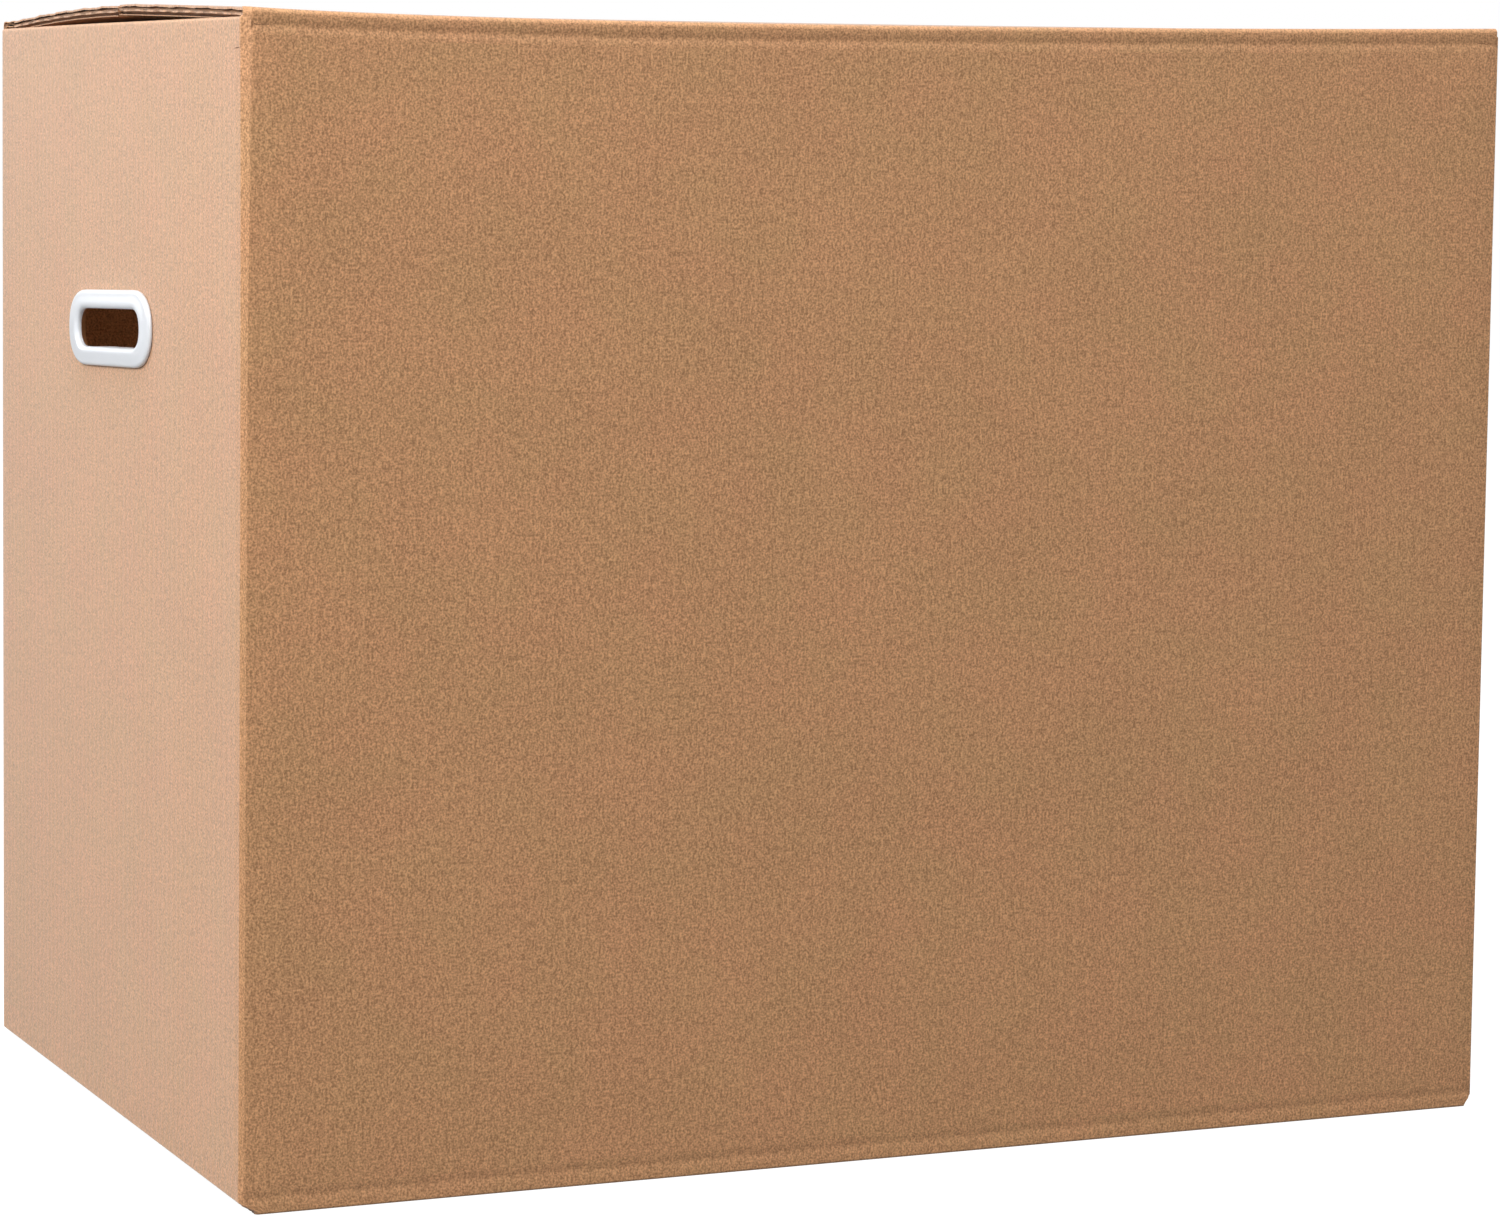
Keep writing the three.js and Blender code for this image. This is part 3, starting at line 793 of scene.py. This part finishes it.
HANDLE_LENGTH = 135
HANDLE_HEIGHT = 34.5
HANDLE_END_CURVE = 28
HOLE_LENGTH = 103
FLANGE_THICKNESS = 2.6
FLANGE_WIDTH = (HANDLE_HEIGHT - HOLE_HEIGHT) / 2


def plastic_material():
    material = bpy.data.materials.new("white plastic")
    material.use_nodes = True
    tree = material.node_tree
    surface = tree.nodes["Principled BSDF"]
    place = add_node(tree, "ShaderNodeTexCoord").outputs["Object"]
    cloud = add_node(tree, "ShaderNodeTexNoise", {"Vector": place, "Scale": 90.0, "Detail": 2.0})
    colour = add_node(tree, "ShaderNodeMix", {"Factor": cloud.outputs[0]}, data_type="RGBA")
    colour.inputs[6].default_value = (0.78, 0.815, 0.87, 1)
    colour.inputs[7].default_value = (0.82, 0.855, 0.91, 1)
    tree.links.new(colour.outputs[2], surface.inputs["Base Color"])
    surface.inputs["Roughness"].default_value = 0.28
    surface.inputs["Subsurface Weight"].default_value = 0.6
    surface.inputs["Subsurface Radius"].default_value = (1.0, 1.0, 1.0)
    surface.inputs["Subsurface Scale"].default_value = 0.004
    bump = add_node(tree, "ShaderNodeBump", {"Height": cloud.outputs[0], "Strength": 0.05,
                                             "Distance": 0.0003})
    tree.links.new(bump.outputs[0], surface.inputs["Normal"])
    return material


PLASTIC = plastic_material()


def handle_outline(outward):
    """Points round the hand-hold, from its hole at 0 out to its rim at 1."""
    return long_outline(
        HOLE_LENGTH + (HANDLE_LENGTH - HOLE_LENGTH) * outward,
        HOLE_HEIGHT + (HANDLE_HEIGHT - HOLE_HEIGHT) * outward,
        HOLE_END_CURVE + (HANDLE_END_CURVE - HOLE_END_CURVE) * outward,
    )


RIM_FOOT = 0.5
RIM_CURVE = 1.8
LIP_CURVE = 2.0
LIP_CURVE_DROP = 1.6
DOME_RISE = 0.5


def ring_section():
    """The flange in section: a distance out from the hole's edge and a height above the board."""
    top = FLANGE_THICKNESS
    foot = CLEARANCE + RIM_FOOT
    rows = [(0.0, 0.0), (LIP_WALL, 0.0), (LIP_WALL, CLEARANCE), (FLANGE_WIDTH, CLEARANCE),
            (FLANGE_WIDTH, foot)]
    for step in range(1, 7):
        angle = step / 6 * math.pi / 2
        rows.append((FLANGE_WIDTH - RIM_CURVE * (1 - math.cos(angle)),
                     foot + (top - DOME_RISE - foot) * math.sin(angle)))
    for share in np.linspace(0, 1, 7)[1:]:
        reach = (FLANGE_WIDTH - RIM_CURVE) * (1 - share) + LIP_CURVE * share
        rows.append((reach, top - DOME_RISE + DOME_RISE * smoothstep(0, 1, share)))
    for step in range(1, 7):
        angle = step / 6 * math.pi / 2
        rows.append((LIP_CURVE - LIP_CURVE * math.sin(angle),
                     top - LIP_CURVE_DROP * (1 - math.cos(angle))))
    return rows


def handle_solid(side):
    """The flange, as its section carried round the hole."""
    rows = ring_section()
    loops = [handle_outline(out / FLANGE_WIDTH) for out, _ in rows]
    stations = len(loops[0])
    points = []
    for i in range(stations):
        for j, (_, height) in enumerate(rows):
            y, z = loops[j][i]
            points.append((side * (HALF_LENGTH + height), y, HANDLE_CENTRE + z))
    faces = []
    for i in range(stations):
        for j in range(len(rows)):
            k, n = (j + 1) % len(rows), (i + 1) % stations
            faces.append((i * len(rows) + j, n * len(rows) + j, n * len(rows) + k,
                          i * len(rows) + k))
    points = np.array(points)
    return points, np.array(faces), points[:, 1:]


TONGUE_WIDTH = 14
TONGUE_PITCH = 24
TONGUE_ROOT = 0.2
BARB_CATCH = 1.6
BARB_LENGTH = 2.7
BARB_EDGE = 0.3
BARB_STEP = 0.01
TIP_NARROWING = 0.5


def tongue_solid(side, along, up):
    """A tongue that passes through the hole, with a barb that hooks behind the board and slopes
    back to a narrow tip."""
    catch = -BOARD - CLEARANCE
    heights = [TONGUE_ROOT, catch, catch - BARB_STEP, catch - BARB_EDGE, catch - BARB_LENGTH]
    hooked = LIP_WALL + BARB_CATCH
    outer = [LIP_WALL, LIP_WALL, hooked, hooked, LIP_WALL - TIP_NARROWING]
    faces = []
    for offsets in (outer, [0] * len(heights)):
        height, y = grid(heights, (along - TONGUE_WIDTH / 2, along + TONGUE_WIDTH / 2))
        offset, _ = grid(offsets, (0, 0))
        z = up * (HOLE_HEIGHT / 2 + offset)
        y, z = tilted(y, z)
        faces.append(np.stack([side * (HALF_LENGTH + height), y, HANDLE_CENTRE + z], axis=-1))
    return slab(faces[0], faces[1], faces[0][..., 1:])


for side, label in ((-1, "left"), (1, "right")):
    moulding = [handle_solid(side)]
    for along in (-TONGUE_PITCH, 0, TONGUE_PITCH):
        moulding += [tongue_solid(side, along, 1), tongue_solid(side, along, -1)]
    handle = piece(f"hand_hold_{label}", moulding, [PLASTIC], smooth_angle=50)
    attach(handle, "carton")
    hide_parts(f"handle_{label}")


# The camera stands where the photograph was taken, to the left of the front and rolled slightly. Its
# lens is shifted down a little, as the photograph's framing needs.

CAMERA_PLACE = (-836.9, -1954.0, 460.8)
CAMERA_TURN_DEGREES = (85.1547, -0.73116, -23.48087)
camera_data = bpy.data.cameras.new("camera")
camera_data.sensor_width = 36
camera_data.lens = 107.052
camera_data.shift_y = -0.08
camera_data.clip_start = 0.1
camera_data.clip_end = 50
camera = bpy.data.objects.new("camera", camera_data)
camera.location = Vector(CAMERA_PLACE) * MM
camera.rotation_euler = [math.radians(angle) for angle in CAMERA_TURN_DEGREES]
bpy.context.scene.collection.objects.link(camera)
bpy.context.scene.camera = camera


# The studio is a pale floor, a white surround, four soft lamps and a faint one inside the box. Only
# the camera sees the floor's glow and the surround's white, so neither of them lights the box.

FLOOR_REACH = 12
FLOOR_TONE = 0.19
FLOOR_GLOW = 0.94
SURROUND_TONE = 0.33


def lamp(name, place, aim, size, power, colour=(1, 1, 1)):
    """A soft lamp, placed and aimed in metres."""
    data = bpy.data.lights.new(name, "AREA")
    data.shape = "RECTANGLE"
    data.size, data.size_y = size
    data.energy = power
    data.color = colour
    made = bpy.data.objects.new(name, data)
    made.location = place
    made.rotation_mode = "QUATERNION"
    made.rotation_quaternion = (Vector(aim) - Vector(place)).to_track_quat("-Z", "Y")
    bpy.context.scene.collection.objects.link(made)


floor_mesh = bpy.data.meshes.new("floor")
corners = [(-1, -1), (1, -1), (1, 1), (-1, 1)]
floor_mesh.from_pydata([(x * FLOOR_REACH, y * FLOOR_REACH, 0) for x, y in corners], [], [(0, 1, 2, 3)])
floor = bpy.data.objects.new("floor", floor_mesh)
bpy.context.scene.collection.objects.link(floor)
floor_material = bpy.data.materials.new("floor")
floor_material.use_nodes = True
floor_surface = floor_material.node_tree.nodes["Principled BSDF"]
floor_surface.inputs["Base Color"].default_value = (FLOOR_TONE, FLOOR_TONE, FLOOR_TONE, 1)
floor_surface.inputs["Roughness"].default_value = 0.9
floor_tree = floor_material.node_tree
floor_path = floor_tree.nodes.new("ShaderNodeLightPath")
glow = math_node(floor_tree, "MULTIPLY", floor_path.outputs["Is Camera Ray"], FLOOR_GLOW)
floor_surface.inputs["Emission Color"].default_value = (1, 1, 1, 1)
floor_tree.links.new(glow, floor_surface.inputs["Emission Strength"])
floor_mesh.materials.append(floor_material)

world = bpy.data.worlds.new("surround")
bpy.context.scene.world = world
world.use_nodes = True
tree = world.node_tree
background = tree.nodes["Background"]
path = tree.nodes.new("ShaderNodeLightPath")
tone = add_node(tree, "ShaderNodeMix", {"Factor": path.outputs["Is Camera Ray"]}, data_type="RGBA")
tone.inputs[6].default_value = (SURROUND_TONE, SURROUND_TONE, SURROUND_TONE, 1)
tone.inputs[7].default_value = (1, 1, 1, 1)
tree.links.new(tone.outputs[2], background.inputs["Color"])

lamp("key", place=(-2.2, -0.8, 1.7), aim=(0, 0, 0.45), size=(1.1, 1.1), power=54)
lamp("graze", place=(-1.7, 2.4, 1.1), aim=(-0.3, 0, 0.35), size=(1.0, 1.2), power=27)
lamp("fill", place=(0.2, -1.75, 2.2), aim=(0, 0, 0.55), size=(1.8, 0.8), power=24)
lamp("sky", place=(-0.2, 0.2, 3.2), aim=(0, 0, 0.4), size=(2.6, 2.6), power=40)
lamp("seam", place=(0, 0, 0.485), aim=(0, 0, 0), size=(0.5, 0.01), power=0.16, colour=(1, 0.8, 0.6))

bpy.context.scene.view_settings.view_transform = "Standard"
